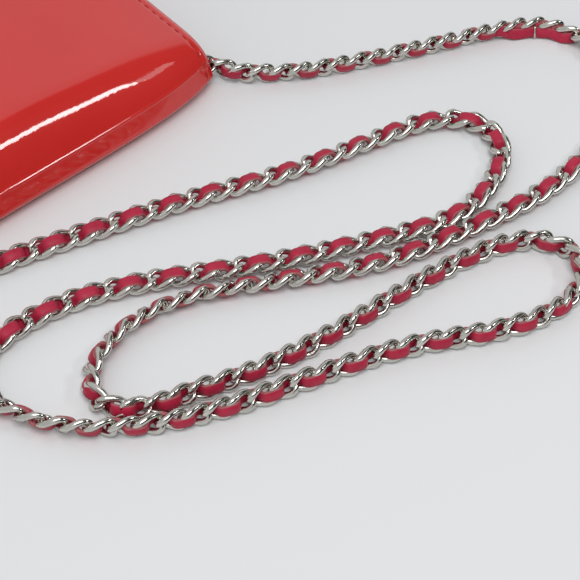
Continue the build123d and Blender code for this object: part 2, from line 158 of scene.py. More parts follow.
# The strap's route from the right ring to the left one, as in the CAD model
STRAP_ROUTE = [
    (89.4, -55.9, 5.4), (94.8, -55.6, 5.2), (98.6, -58.8, 4.4), (101, -64, 3.7),
    (107.5, -70, STRAP_Z), (118, -78, STRAP_Z), (136, -87, STRAP_Z), (156, -96, STRAP_Z),
    (174, -103.5, STRAP_Z), (185.5, -111, STRAP_Z), (188, -124, STRAP_Z), (186, -140, STRAP_Z),
    (173, -153, STRAP_Z), (152, -157.5, STRAP_Z), (128, -160, STRAP_Z), (102, -155, STRAP_Z),
    (76, -148.5, STRAP_Z), (52, -134, STRAP_Z), (34, -123, STRAP_Z), (19, -118.5, STRAP_Z),
    (5, -120, STRAP_Z), (-5, -125.5, STRAP_Z), (-9, -135, STRAP_Z), (-2, -143.5, STRAP_Z),
    (10, -147, STRAP_Z), (27, -153.5, STRAP_Z), (50, -157.5, STRAP_Z), (77, -159.5, STRAP_Z),
    (98, -163, STRAP_Z), (111, -169, STRAP_Z), (116, -180, STRAP_Z), (109, -188.5, STRAP_Z),
    (97, -191.5, STRAP_Z), (80, -186, STRAP_Z), (60, -173, STRAP_Z), (35, -164, STRAP_Z),
    (12, -156.5, STRAP_Z), (-7, -146.5, STRAP_Z), (-21, -132, STRAP_Z), (-27, -116, STRAP_Z),
    (-24, -103.5, STRAP_Z), (-10, -99.5, STRAP_Z), (9, -102, STRAP_Z), (30, -112, STRAP_Z),
    (53, -127, STRAP_Z), (80, -140.5, STRAP_Z), (103, -150.5, STRAP_Z), (122, -147, STRAP_Z),
    (134, -139, STRAP_Z), (137, -127.5, STRAP_Z), (128, -117, STRAP_Z), (109, -112, STRAP_Z),
    (82, -105.5, STRAP_Z), (54, -94, STRAP_Z), (25, -85, STRAP_Z), (-1, -77, STRAP_Z),
    (-35, -77, STRAP_Z), (-67, -83.5, STRAP_Z), (-94, -87, STRAP_Z), (-116, -86, STRAP_Z),
    (-132, -73, STRAP_Z), (-134, -53, STRAP_Z), (-120, -41, STRAP_Z), (-105, -44.5, 4.0),
    (-97.2, -53.5, 5.0), (-89.4, -55.9, 5.4),
]

# How far the strap is rolled about its line at some of the route's points, in degrees.
# At 0 it lies flat, and at -90 the face that was up looks to its right.
STRAP_ROLLS = [
    (0, -50), (3, -110), (9, -115), (12, -180), (14, -184), (16, -192), (18, -222), (21, -240),
    (24, -258), (28, -262), (31, -280), (36, -280), (40, -208), (42, -200), (43, -182), (45, -176),
    (46, -168), (48, -160), (50, -182), (51, -200), (53, -186), (54, -160), (55, -150), (65, -150),
]


# ---------------------------------------------------------------- materials

class Shader:
    """A material's node tree, with short calls for the nodes that the looks below share."""

    def __init__(self, name):
        self.material = bpy.data.materials.new(name)
        self.material.use_nodes = True
        self.tree = self.material.node_tree
        self.surface = self.tree.nodes["Principled BSDF"]
        self.place = self.add("ShaderNodeTexCoord").outputs["Object"]

    def add(self, kind, **values):
        made = self.tree.nodes.new(kind)
        for key, value in values.items():
            setattr(made, key, value)
        return made

    def link(self, source, target):
        self.tree.links.new(source, target)

    def set(self, **values):
        for key, value in values.items():
            self.surface.inputs[key.replace("_", " ")].default_value = value

    def noise(self, scale, detail=3.0, roughness=0.55):
        made = self.add("ShaderNodeTexNoise")
        made.inputs["Scale"].default_value = scale
        made.inputs["Detail"].default_value = detail
        made.inputs["Roughness"].default_value = roughness
        self.link(self.place, made.inputs["Vector"])
        return made.outputs["Fac"]

    def cells(self, scale):
        made = self.add("ShaderNodeTexVoronoi")
        made.inputs["Scale"].default_value = scale
        self.link(self.place, made.inputs["Vector"])
        return made.outputs["Distance"]

    def wave(self, scale, direction, distortion=0.0):
        made = self.add("ShaderNodeTexWave", bands_direction=direction)
        made.inputs["Scale"].default_value = scale
        made.inputs["Distortion"].default_value = distortion
        self.link(self.place, made.inputs["Vector"])
        return made.outputs["Fac"]

    def ramp(self, source, stops):
        made = self.add("ShaderNodeValToRGB")
        elements = made.color_ramp.elements
        while len(elements) < len(stops):
            elements.new(0.5)
        for element, (position, colour) in zip(elements, stops):
            element.position = position
            element.color = (*colour, 1)
        self.link(source, made.inputs["Fac"])
        return made.outputs["Color"]

    def spread(self, source, low, high):
        """The source's middle range mapped to low..high."""
        made = self.add("ShaderNodeMapRange")
        made.inputs["From Min"].default_value = 0.3
        made.inputs["From Max"].default_value = 0.7
        made.inputs["To Min"].default_value = low
        made.inputs["To Max"].default_value = high
        self.link(source, made.inputs["Value"])
        return made.outputs["Result"]

    def bump(self, source, distance, strength=1.0, under=None):
        made = self.add("ShaderNodeBump")
        made.inputs["Distance"].default_value = distance
        made.inputs["Strength"].default_value = strength
        self.link(source, made.inputs["Height"])
        if under is not None:
            self.link(under, made.inputs["Normal"])
        return made.outputs["Normal"]

    def colour(self, source):
        self.link(source, self.surface.inputs["Base Color"])

    def roughness(self, source):
        self.link(source, self.surface.inputs["Roughness"])

    def normal(self, source, coat=False):
        self.link(source, self.surface.inputs["Normal"])
        if coat:
            self.link(source, self.surface.inputs["Coat Normal"])


def patent_leather():
    s = Shader("patent_leather")
    s.colour(s.ramp(s.noise(18, 4), [(0.3, (0.600, 0.017, 0.015)), (0.7, (0.680, 0.026, 0.021))]))
    s.roughness(s.spread(s.noise(60), 0.40, 0.50))
    s.set(Specular_IOR_Level=0.12, Coat_Weight=1.0, Coat_Roughness=0.05, Coat_IOR=1.6)
    dimple = s.bump(s.noise(420, 2), 0.00002)
    s.normal(s.bump(s.noise(22, 2), 0.00035, under=dimple), coat=True)
    return s.material


def edge_paint():
    s = Shader("edge_paint")
    s.colour(s.ramp(s.noise(300), [(0.3, (0.300, 0.012, 0.014)), (0.7, (0.400, 0.020, 0.020))]))
    s.roughness(s.spread(s.noise(500), 0.35, 0.5))
    s.set(Coat_Weight=0.4, Coat_Roughness=0.2)
    s.normal(s.bump(s.noise(900), 0.00008))
    return s.material


def lining_leather():
    s = Shader("lining_leather")
    s.colour(s.ramp(s.noise(40, 5), [(0.3, (0.270, 0.014, 0.026)), (0.7, (0.350, 0.022, 0.036))]))
    s.roughness(s.spread(s.noise(200), 0.42, 0.58))
    grain = s.bump(s.cells(1900), 0.00006, 0.6)
    s.normal(s.bump(s.noise(90), 0.0002, under=grain))
    return s.material


def woven(name, dark, light, rib, direction):
    """A ribbed cloth: ribs across one axis, a finer thread across them, and some fading."""
    s = Shader(name)
    ribs = s.wave(rib, direction, 0.4)
    s.colour(s.ramp(ribs, [(0.15, dark), (0.85, light)]))
    s.roughness(s.spread(s.noise(300), 0.75, 0.9))
    s.set(Sheen_Weight=0.3, Sheen_Roughness=0.4)
    thread = s.bump(s.noise(2500), 0.00008, 0.5)
    s.normal(s.bump(ribs, 0.00012, under=thread))
    return s.material


def board():
    s = Shader("board")
    s.colour(s.ramp(s.noise(600, 6), [(0.3, (0.38, 0.32, 0.25)), (0.7, (0.52, 0.46, 0.37))]))
    s.roughness(s.spread(s.noise(900), 0.8, 0.95))
    s.normal(s.bump(s.noise(1500, 5), 0.0001))
    return s.material


def silver(name, dark, light, rough_low, rough_high):
    s = Shader(name)
    s.colour(s.ramp(s.noise(120), [(0.3, dark), (0.7, light)]))
    s.roughness(s.spread(s.noise(700, 4), rough_low, rough_high))
    s.set(Metallic=1.0)
    s.normal(s.bump(s.noise(260, 3), 0.00004))
    return s.material


def lace_leather():
    s = Shader("lace_leather")
    s.colour(s.ramp(s.noise(350, 5), [(0.3, (0.400, 0.014, 0.046)), (0.7, (0.510, 0.022, 0.064))]))
    s.roughness(s.spread(s.noise(500), 0.40, 0.55))
    s.set(Specular_IOR_Level=0.28, Coat_Weight=0.06, Coat_Roughness=0.35)
    grain = s.bump(s.cells(2600), 0.00005, 0.7)
    s.normal(s.bump(s.noise(800, 4), 0.00008, under=grain))
    return s.material


def lace_cut_edge():
    s = Shader("lace_cut_edge")
    s.colour(s.ramp(s.noise(900, 4), [(0.3, (0.300, 0.070, 0.080)), (0.7, (0.430, 0.140, 0.135))]))
    s.roughness(s.spread(s.noise(900), 0.6, 0.8))
    s.normal(s.bump(s.noise(1600), 0.0001))
    return s.material


def thread():
    s = Shader("thread")
    s.colour(s.ramp(s.noise(800), [(0.3, (0.400, 0.012, 0.014)), (0.7, (0.520, 0.018, 0.020))]))
    s.roughness(s.spread(s.noise(900), 0.5, 0.7))
    s.normal(s.bump(s.wave(2200, "DIAGONAL"), 0.00005))
    return s.material


def table_top():
    s = Shader("table_top")
    s.colour(s.ramp(s.noise(3, 4), [(0.2, (0.800, 0.815, 0.825)), (0.8, (0.815, 0.825, 0.835))]))
    s.roughness(s.spread(s.noise(40), 0.38, 0.46))
    s.set(Specular_IOR_Level=0.3)
    return s.material


PATENT = patent_leather()
EDGE = edge_paint()
LINING_LEATHER = lining_leather()
LINING_FABRIC = woven("lining_fabric", (0.190, 0.010, 0.018), (0.330, 0.022, 0.034), 260, "X")
TAPE = woven("zipper_tape", (0.140, 0.008, 0.014), (0.270, 0.018, 0.028), 420, "Y")
BOARD = board()
SILVER = silver("silver_plating", (0.56, 0.55, 0.505), (0.68, 0.67, 0.625), 0.12, 0.22)
SNAP_METAL = silver("snap_plating", (0.62, 0.61, 0.58), (0.74, 0.73, 0.70), 0.22, 0.34)
LACE = lace_leather()
LACE_EDGE = lace_cut_edge()
THREAD = thread()


# ---------------------------------------------------------------- meshes

def piece(name, points, faces, materials, picks=None, smooth=True):
    """A mesh object from points and faces. picks gives each face's material index."""
    data = bpy.data.meshes.new(name)
    data.from_pydata([tuple(map(float, p)) for p in points], [], faces)
    for material in materials:
        data.materials.append(material)
    if picks is not None:
        data.polygons.foreach_set("material_index", np.array(picks, dtype=np.int32))
    data.polygons.foreach_set("use_smooth", np.full(len(faces), smooth))
    data.validate()
    data.update()
    made = bpy.data.objects.new(name, data)
    bpy.context.scene.collection.objects.link(made)
    return made


def grid_normals(grid):
    """Unit normals of a grid of points, as the cross product of its two directions."""
    across = np.gradient(grid, axis=0)
    along = np.gradient(grid, axis=1)
    normals = np.cross(across, along)
    return normals / np.maximum(np.linalg.norm(normals, axis=2, keepdims=True), 1e-12)


def shell(name, grid, thickness, materials, hole=None):
    """A sheet of leather with a rounded, painted rim. materials are its face, its back and its rim.
    hole is the x, y and radius of an opening that a fitting covers."""
    rows, columns = grid.shape[:2]
    normals = grid_normals(grid)
    back = grid - normals * thickness
    count = rows * columns
    points = np.concatenate([grid.reshape(-1, 3), back.reshape(-1, 3)])

    def index(i, j, side):
        return side * count + i * columns + j

    open_here = np.zeros((rows, columns), bool)
    if hole is not None:
        open_here = np.hypot(grid[..., 0] - hole[0], grid[..., 1] - hole[1]) < hole[2]
    faces, picks = [], []
    for i in range(rows - 1):
        for j in range(columns - 1):
            if open_here[i:i + 2, j:j + 2].all():
                continue
            faces.append([index(i, j, 0), index(i + 1, j, 0), index(i + 1, j + 1, 0), index(i, j + 1, 0)])
            faces.append([index(i, j, 1), index(i, j + 1, 1), index(i + 1, j + 1, 1), index(i + 1, j, 1)])
            picks += [0, 1]
    loop = [(i, 0) for i in range(rows)] + [(rows - 1, j) for j in range(1, columns)]
    loop += [(i, columns - 1) for i in range(rows - 2, -1, -1)] + [(0, j) for j in range(columns - 2, 0, -1)]
    ring = np.array([grid[i, j] for i, j in loop])
    inner = np.array([back[i, j] for i, j in loop])
    run = np.roll(ring, -1, axis=0) - np.roll(ring, 1, axis=0)
    drop = ring - inner
    outward = np.cross(run, drop)
    outward /= np.maximum(np.linalg.norm(outward, axis=1, keepdims=True), 1e-12)
    bulge = (ring + inner) / 2 + outward * thickness * 0.35
    start = len(points)
    points = np.concatenate([points, bulge])
    for k, (i, j) in enumerate(loop):
        m = (k + 1) % len(loop)
        i2, j2 = loop[m]
        faces.append([index(i2, j2, 0), index(i, j, 0), start + k, start + m])
        faces.append([start + m, start + k, index(i, j, 1), index(i2, j2, 1)])
        picks += [2, 2]
    return piece(name, points, faces, materials, picks)


def tube(path, radius, sides=8, closed=False):
    """Points and faces of a round tube along a path. Its ends are capped unless it is closed."""
    path = np.asarray(path, float)
    if closed:
        run = np.roll(path, -1, axis=0) - np.roll(path, 1, axis=0)
    else:
        run = np.gradient(path, axis=0)
    run /= np.linalg.norm(run, axis=1, keepdims=True)
    helper = np.cross(run[0], UP if abs(run[0][2]) < 0.9 else (1.0, 0, 0))
    sides_of = []
    for direction in run:
        helper = helper - direction * (helper @ direction)
        helper /= np.linalg.norm(helper)
        sides_of.append(helper)
    first = np.array(sides_of)
    second = np.cross(run, first)
    turn = np.linspace(0, 2 * np.pi, sides, endpoint=False)
    radii = np.broadcast_to(np.asarray(radius, float), (len(path),))[:, None, None]
    rings = path[:, None] + radii * (
        first[:, None] * np.cos(turn)[None, :, None] + second[:, None] * np.sin(turn)[None, :, None]
    )
    return rings.reshape(-1, 3), ring_faces(len(path), sides, closed)


def ring_faces(rings, sides, closed):
    faces = []
    for i in range(rings if closed else rings - 1):
        n = (i + 1) % rings
        for k in range(sides):
            m = (k + 1) % sides
            faces.append([i * sides + k, i * sides + m, n * sides + m, n * sides + k])
    if not closed:
        faces.append([k for k in range(sides - 1, -1, -1)])
        faces.append([(rings - 1) * sides + k for k in range(sides)])
    return faces


def gather(parts):
    """Many (points, faces) pairs as one."""
    points, faces, start = [], [], 0
    for more, polygons in parts:
        points.append(more)
        faces += [[v + start for v in face] for face in polygons]
        start += len(more)
    return np.concatenate(points), faces


# ---------------------------------------------------------------- the strap

def strap_line():
    """The strap's centre line: a smooth spline whose control points are the route."""
    data = bpy.data.curves.new("strap_line", "CURVE")
    data.dimensions = "3D"
    data.resolution_u = 24
    spline = data.splines.new("NURBS")
    spline.points.add(len(STRAP_ROUTE) - 1)
    for point, (x, y, z) in zip(spline.points, STRAP_ROUTE):
        point.co = (x * MM, y * MM, z * MM, 1)
    spline.order_u = 3
    spline.use_endpoint_u = True
    carrier = bpy.data.objects.new("strap_line", data)
    mesh = bpy.data.meshes.new_from_object(carrier)
    line = np.array([v.co for v in mesh.vertices], float)
    bpy.data.objects.remove(carrier)
    bpy.data.meshes.remove(mesh)
    return line


class Strap:
    """Places along the strap's line, with the frame that its links and lace are built in."""

    def __init__(self, line):
        self.line = line
        steps = np.linalg.norm(np.diff(line, axis=0), axis=1)
        self.along = np.concatenate([[0], np.cumsum(steps)])
        self.length = self.along[-1]
        rolls_at, rolls = [], []
        for index, degrees in STRAP_ROLLS:
            near = np.linalg.norm(line - np.array(STRAP_ROUTE[index]) * MM, axis=1).argmin()
            rolls_at.append(self.along[near])
            rolls.append(math.radians(degrees))
        self.rolls = (rolls_at, rolls)

    def point(self, s):
        return np.stack([np.interp(s, self.along, self.line[:, k]) for k in range(3)], axis=-1)

    def roll(self, s):
        """The roll at s, averaged over two repeats so that it changes smoothly."""
        spread = np.linspace(-REPEAT, REPEAT, 9)
        return np.mean([np.interp(s + d, *self.rolls) for d in spread], axis=0)

    def axes(self, s):
        """Along the strap, across its width, and out of its face, for each s."""
        s = np.atleast_1d(np.asarray(s, float))
        reach = LINK_PITCH * 0.4
        before = self.point(np.clip(s - reach, 0, self.length))
        after = self.point(np.clip(s + reach, 0, self.length))
        along = after - before
        along /= np.linalg.norm(along, axis=1, keepdims=True)
        left = np.cross(UP, along)
        left /= np.linalg.norm(left, axis=1, keepdims=True)
        up = np.cross(along, left)
        roll = self.roll(s)[:, None]
        face = np.cos(roll) * up + np.sin(roll) * left
        across = np.cross(face, along)
        return along, across, face

    def rest(self, s):
        """The middle of the strap at s, lowered where it lies flat, so that it rests on the table."""
        flat = np.abs(np.cos(self.roll(s)))
        drop = FLAT_DROP * flat
        point = self.point(s)
        point[..., 2] -= np.where(point[..., 2] < LIFTED_Z, drop, 0)
        return point


def link_path():
    """A curb link's wire: an oval whose two ends are turned opposite ways."""
    path = []
    for turn in np.linspace(0, 2 * math.pi, WIRE_STEPS, endpoint=False):
        x = math.copysign(abs(math.cos(turn)) ** LINK_SQUARENESS, math.cos(turn))
        y = math.copysign(abs(math.sin(turn)) ** LINK_SQUARENESS, math.sin(turn))
        twist = LINK_TWIST * x
        width = LINK_HALF_WIDTH * y
        path.append((LINK_HALF_LENGTH * x, width * math.cos(twist), width * math.sin(twist)))
    return np.array(path)


def link_count(strap):
    return int(round(strap.length / LINK_PITCH))


def chain_links(strap, name, first, last):
    """The chain's links from first to last, in one mesh."""
    wire, faces = tube(link_path(), WIRE_RADIUS, WIRE_SIDES, closed=True)
    wire[:, 2] = np.clip(wire[:, 2], -LINK_HALF_THICK, LINK_HALF_THICK)
    parts = []
    for k in range(first, last + 1):
        along, across, face = (axis[0] for axis in strap.axes(k * strap.length / link_count(strap)))
        lean = math.radians(random.Random(k).uniform(-LINK_LEAN, LINK_LEAN))
        across, face = (
            math.cos(lean) * across + math.sin(lean) * face,
            math.cos(lean) * face - math.sin(lean) * across,
        )
        placed = wire[:, :1] * along + wire[:, 1:2] * across + wire[:, 2:] * face
        parts.append((placed + strap.rest(k * strap.length / link_count(strap)), faces))
    points, polygons = gather(parts)
    points[:, 2] = np.maximum(points[:, 2], 0.02 * MM)
    return piece(name, points, polygons, [SILVER])


def lace(strap, name, start, end, joined=False):
    """The leather lace from start to end, woven over one joint of the chain and under the next."""
    s = np.linspace(start, end, int((end - start) / REPEAT * LACE_STEPS))
    pitch = strap.length / link_count(strap)
    phase = np.pi * s / pitch - np.pi / 2
    swing = LACE_SWING * np.tanh(LACE_SNAP * np.cos(phase)) / np.tanh(LACE_SNAP)
    swing *= 1 + 0.10 * np.cos(phase) ** 2
    along, across, face = strap.axes(s)
    join_start, join_end = join_span(strap)
    swing *= 1 - 0.55 * ((s > join_start) & (s < join_end))
    middle = strap.rest(s) + face * swing[:, None]
    squeeze = 0.86 + 0.14 * np.abs(np.cos(phase)) ** 0.7
    parts = [ribbon(middle, across, LACE_WIDTH * squeeze, LACE_THICK)]
    if joined:
        for shift, offset, height in ((0.0, 1.2, 3.0), (3.0, 2.15, 2.0)):
            parts.append(lace_end(strap, shift * MM, offset * MM, height * MM))
    points, polygons = gather([part[:2] for part in parts])
    picks = [pick for part in parts for pick in part[2]]
    return piece(name, points, polygons, [LACE, LACE_EDGE], picks)


def ribbon(middle, across, width, thick):
    """A flat strip with slightly domed faces: its points, faces and each face's material index."""
    run = np.gradient(middle, axis=0)
    run /= np.linalg.norm(run, axis=1, keepdims=True)
    across = across - run * np.sum(across * run, axis=1, keepdims=True)
    across /= np.linalg.norm(across, axis=1, keepdims=True)
    out = np.cross(run, across)
    section = [
        (-0.50, -0.22), (-0.44, -0.50), (0.0, -0.56), (0.44, -0.50), (0.50, -0.22), (0.50, 0.22),
        (0.44, 0.50), (0.0, 0.62), (-0.44, 0.50), (-0.50, 0.22),
    ]
    sides = len(section)
    flat = np.array(section)
    wide = np.broadcast_to(width, (len(middle),))[:, None, None] * flat[None, :, :1]
    points = middle[:, None] + across[:, None] * wide + out[:, None] * thick * flat[None, :, 1:]
    points[..., 2] = np.maximum(points[..., 2], 0.05 * MM)
    faces = ring_faces(len(middle), sides, closed=False)
    edges = {0, 3, 4, 5, 8, 9}
    picks = [1 if k % sides in edges and k < (len(middle) - 1) * sides else 0 for k in range(len(faces))]
    return points.reshape(-1, 3), faces, picks


def join_span(strap):
    """How far along the strap the lace's overlap starts and ends."""
    return [
        strap.along[np.linalg.norm(strap.line - np.array(place) * MM, axis=1).argmin()]
        for place in (JOIN_FROM, JOIN_TO)
    ]


def join_path(strap, s, offset, height):
    """A path beside the strap at those places along it, on its right, and the direction to its right."""
    along = strap.axes(s)[0]
    right = np.cross(along, UP)
    right /= np.linalg.norm(right, axis=1, keepdims=True)
    path = strap.point(s) + right * np.reshape(offset, (-1, 1))
    path[:, 2] = height
    return path, right


def lace_end(strap, shift, offset, height):
    """One of the lace's two ends, which lie side by side along the chain where they are stapled together."""
    start, end = join_span(strap)
    s = np.linspace(start + shift, end + shift, 60)
    share = np.linspace(0, 1, 60)
    tuck = np.clip(np.minimum(share, 1 - share) / 0.14, 0, 1) ** 0.6
    path, right = join_path(strap, s, offset * tuck, height)
    path[:, 2] += 0.15 * MM * np.sin(share * 21)
    return ribbon(path, UP - 0.35 * right, LACE_WIDTH, 0.75 * MM)


def lace_staple(strap):
    """The small wire staple that holds the lace's two ends together."""
    start, end = join_span(strap)
    middle = start + 0.56 * (end - start)
    path, right = join_path(strap, np.array([middle, middle + 0.2 * MM]), np.full(2, 2.9 * MM), 2.3 * MM)
    centre, right = path[0], right[0]
    up = UP - 0.35 * right
    up /= np.linalg.norm(up)
    half = 1.75 * MM
    bend = [
        centre - right * 1.0 * MM + up * half, centre - right * 0.3 * MM + up * half,
        centre + up * (half - 0.4 * MM), centre, centre - up * (half - 0.4 * MM),
        centre - right * 0.3 * MM - up * half, centre - right * 1.0 * MM - up * half,
    ]
    points, faces = tube(bend, 0.32 * MM, 8)
    points[:, 2] = np.maximum(points[:, 2], 0.05 * MM)
    return piece("lace_staple", points, faces, [SILVER])


def make_strap():
    strap = Strap(strap_line())
    last = link_count(strap)
    turn = (END_LINKS - 0.5) * strap.length / last
    links = chain_links(strap, "chain_links", END_LINKS, last - END_LINKS)
    woven_lace = lace(strap, "strap_lace", turn, strap.length - turn, joined=True)
    staple = lace_staple(strap)
    made = [(links, "silver_metal"), (woven_lace, "strap_lace"), (staple, "silver_metal")]
    for part, slot in made:
        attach(part, "bag")
    for name, side, links_range, lace_range in (
        ("right", 1, (0, END_LINKS - 1), (1.5 * MM, turn)),
        ("left", -1, (last - END_LINKS + 1, last), (strap.length - turn, strap.length - 1.5 * MM)),
    ):
        end_links = chain_links(strap, "chain_end_" + name, *links_range)
        end_lace = lace(strap, "lace_end_" + name, *lace_range)
        for part, slot in ((end_links, "silver_metal"), (end_lace, "strap_lace")):
            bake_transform(part)
            made.append((part, slot))
    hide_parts("chain_strap")


# ---------------------------------------------------------------- the leather shell

def crown(x, y):
    """Height of the flap's outer face, which is fullest near the fold."""
    end = CROWN_END + RISE_END * (y - MOUTH_Y)
    middle = CROWN_MIDDLE + RISE_MIDDLE * (y - MOUTH_Y)
    full = np.clip((FULL_END_Y - y) / FULL_FADE, 0, 1)
    return end + (middle - end) * (1 - np.abs(x / FLAP_HALF) ** (2 + full))


def inner_crown(x, y):
    """The flap's face as the CAD model has it, which the layers inside follow."""
    end = INNER_END + RISE_END * (y - MOUTH_Y)
    middle = INNER_MIDDLE + RISE_MIDDLE * (y - MOUTH_Y)
    return end + (middle - end) * (1 - (x / INNER_HALF) ** 2)


def inset_from_rim(x, y, half, free_y, corner):
    """Distance in from the sides and the far edge of an outline with two rounded corners."""
    past_x = abs(x) - (half - corner)
    past_y = y - (free_y - corner)
    if past_x > 0 and past_y > 0:
        return corner - math.hypot(past_x, past_y)
    return min(half - abs(x), free_y - y)


def stations(half, count, edge, edge_steps):
    """Places across the bag: even in the middle and close together near the two ends."""
    inner = np.linspace(-half + edge, half - edge, count)
    outer = half - np.linspace(0, 1, edge_steps, endpoint=False) ** 1.3 * edge
    return np.concatenate([-outer, inner, outer[::-1]])


def bezier(p0, p1, p2, p3, count):
    t = np.linspace(0, 1, count)[:, None]
    return (1 - t) ** 3 * p0 + 3 * (1 - t) ** 2 * t * p1 + 3 * (1 - t) * t ** 2 * p2 + t ** 3 * p3


def fold_y(x):
    """How far out the fold stands at x."""
    return FOLD_Y + FOLD_BOW * np.abs(x / FLAP_HALF) ** BOW_POWER


def fold_profile(x):
    """(y, z) points of the fold's outer face at x, from the table up to the flap."""
    height = crown(x, MOUTH_Y)
    ridge = np.array((fold_y(x), RIDGE_Z))
    table = ridge + (UNDER_REACH, -RIDGE_Z)
    under = bezier(
        table, table + (-0.45 * UNDER_REACH, 0.0),
        ridge + (0.75 * MM, -1.7 * MM), ridge + (0.03 * MM, -0.3 * MM), UNDER_ROWS,
    )
    lean = math.tan(FOLD_LEAN)
    crease = ridge + ((CREASE_Z - RIDGE_Z) * lean, CREASE_Z - RIDGE_Z)
    steps = np.linspace(0.3 * MM, CREASE_Z - RIDGE_Z - 0.6 * MM, LOWER_ROWS)
    lower = [ridge + (step * lean, step) for step in steps]
    out = np.array((-math.cos(FOLD_LEAN), math.sin(FOLD_LEAN)))
    fine = crease + np.outer(CREASE_STEPS, (lean, 1.0)) * MM + np.outer(CREASE_LIFT, out) * MM
    slope = RISE_END + (RISE_MIDDLE - RISE_END) * (1 - abs(x / FLAP_HALF) ** 3)
    flat = np.array((1.0, slope)) / math.hypot(1, slope)
    top = np.array((MOUTH_Y, height))
    up = np.array((math.sin(UPPER_LEAN), math.cos(UPPER_LEAN)))
    over = bezier(
        crease + up * 0.5 * MM, crease + up * UPPER_PULL * (height - CREASE_Z),
        top - flat * TOP_PULL * (MOUTH_Y - crease[0]), top, OVER_ROWS,
    )
    return np.concatenate([under, lower, fine, over])


def flap_free_edge(x):
    """Where the flap ends at x, round its two corners."""
    past = max(0.0, abs(x) - (FLAP_HALF - FLAP_CORNER))
    return FLAP_FREE_Y - FLAP_CORNER + math.sqrt(max(FLAP_CORNER ** 2 - past ** 2, 0.0))


def edge_roll(inset):
    """How far the leather's face drops near a sewn edge: a groove at the seam and a rolled rim."""
    groove = SEAM_GROOVE * math.exp(-(((inset - STITCH_INSET) / SEAM_WIDTH) ** 2))
    rim = RIM_DROP * math.exp(-((inset / RIM_WIDTH) ** 2))
    return (groove + rim) * MM


def ripple(x, y, size):
    """Slow unevenness of stuffed leather, from seeded noise."""
    return size * noise.noise(Vector((x * 32, y * 32, 4.7)))


def outer_leather():
    """One piece of patent leather: the back, the fold and the flap."""
    across = stations(FLAP_HALF, 60, 22 * MM, 36)
    rows = []
    for x in across:
        drop = edge_roll(FLAP_HALF - abs(x))
        fold = fold_profile(x)
        fold[:, 0] += drop * np.clip(fold[:, 1] / (8 * MM), 0, 1) * 0.7
        fold[:, 1] -= drop * np.clip((fold[:, 1] - 6 * MM) / (8 * MM), 0, 1)
        back_y = np.linspace(BACK_END_Y, fold[0, 0], BACK_ROWS + 1)[:-1]
        back = np.stack([back_y, np.zeros(BACK_ROWS)], axis=1)
        free = flap_free_edge(x)
        share = 1 - (1 - np.linspace(0, 1, FLAP_ROWS)[1:]) ** 1.25
        flap_y = MOUTH_Y + share * (free - MOUTH_Y)
        drops = [edge_roll(inset_from_rim(x, y, FLAP_HALF, FLAP_FREE_Y, FLAP_CORNER)) for y in flap_y]
        flap = np.stack([flap_y, crown(x, flap_y) - drops], axis=1)
        row = []
        for y, z in np.concatenate([back, fold, flap]):
            narrow = min(max((y - BACK_NARROW_Y) / BACK_NARROW_FADE, 0.0), 1.0) if z < 2 * MM else 0.0
            row.append((x * (1 - BACK_NARROW * narrow * narrow * (3 - 2 * narrow)), y, z))
        rows.append(row)
    grid = np.array(rows)
    for i, row in enumerate(grid):
        calm = min(1.0, (FLAP_HALF - abs(across[i])) / (14 * MM))
        for point in row:
            if point[2] > RIDGE_Z + 1 * MM:
                share = min(max((point[1] - FOLD_Y - RIPPLE_START) / RIPPLE_RISE, 0.0), 1.0)
                size = RIPPLE_FOLD + RIPPLE_FLAP * share
                point[2] += ripple(point[0], point[1] + point[2], size * MM) * calm
    skin = shell("outer_leather", grid, LEATHER, [PATENT, LINING_LEATHER, EDGE])
    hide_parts("back_panel", "flap_fold", "flap_outer")
    follow_flap(skin)
    flap_stitches(grid, across)


def follow_flap(made):
    """Bakes the piece's placement into its mesh; it does not turn with the flap."""
    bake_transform(made)


def follow_front(made):
    """Bakes the piece's placement into its mesh; it does not swing with the front."""
    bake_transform(made)


def stitch_row(path, outward):
    """Thread in short stitches along a path on the leather, whose normals are outward."""
    path, outward = np.asarray(path), np.asarray(outward)
    steps = np.linalg.norm(np.diff(path, axis=0), axis=1)
    along = np.concatenate([[0], np.cumsum(steps)])
    count = int(along[-1] // STITCH_PITCH)
    share = STITCH_LENGTH / STITCH_PITCH
    lift = np.array((-0.25, 0.0, 0.08, 0.08, 0.0, -0.25))[:, None] * MM
    parts = []
    for k in range(count):
        s = (k + 0.5 + np.linspace(-0.5, 0.5, 6) * share) * along[-1] / count
        points = np.stack([np.interp(s, along, path[:, a]) for a in range(3)], axis=1)
        normal = np.stack([np.interp(s, along, outward[:, a]) for a in range(3)], axis=1)
        parts.append(tube(points + normal * lift, STITCH_RADIUS, 6))
    return parts


def on_surface(plan, height, drop=0.0):
    """Points and normals on a surface z = height(x, y), over a path in plan."""
    step = 0.5 * MM
    points, normals = [], []
    for x, y in plan:
        slope_x = (height(x + step, y) - height(x - step, y)) / (2 * step)
        slope_y = (height(x, y + step) - height(x, y - step)) / (2 * step)
        normal = np.array((-slope_x, -slope_y, 1.0))
        normals.append(normal / np.linalg.norm(normal))
        points.append((x, y, height(x, y) - drop))
    return np.array(points), np.array(normals)


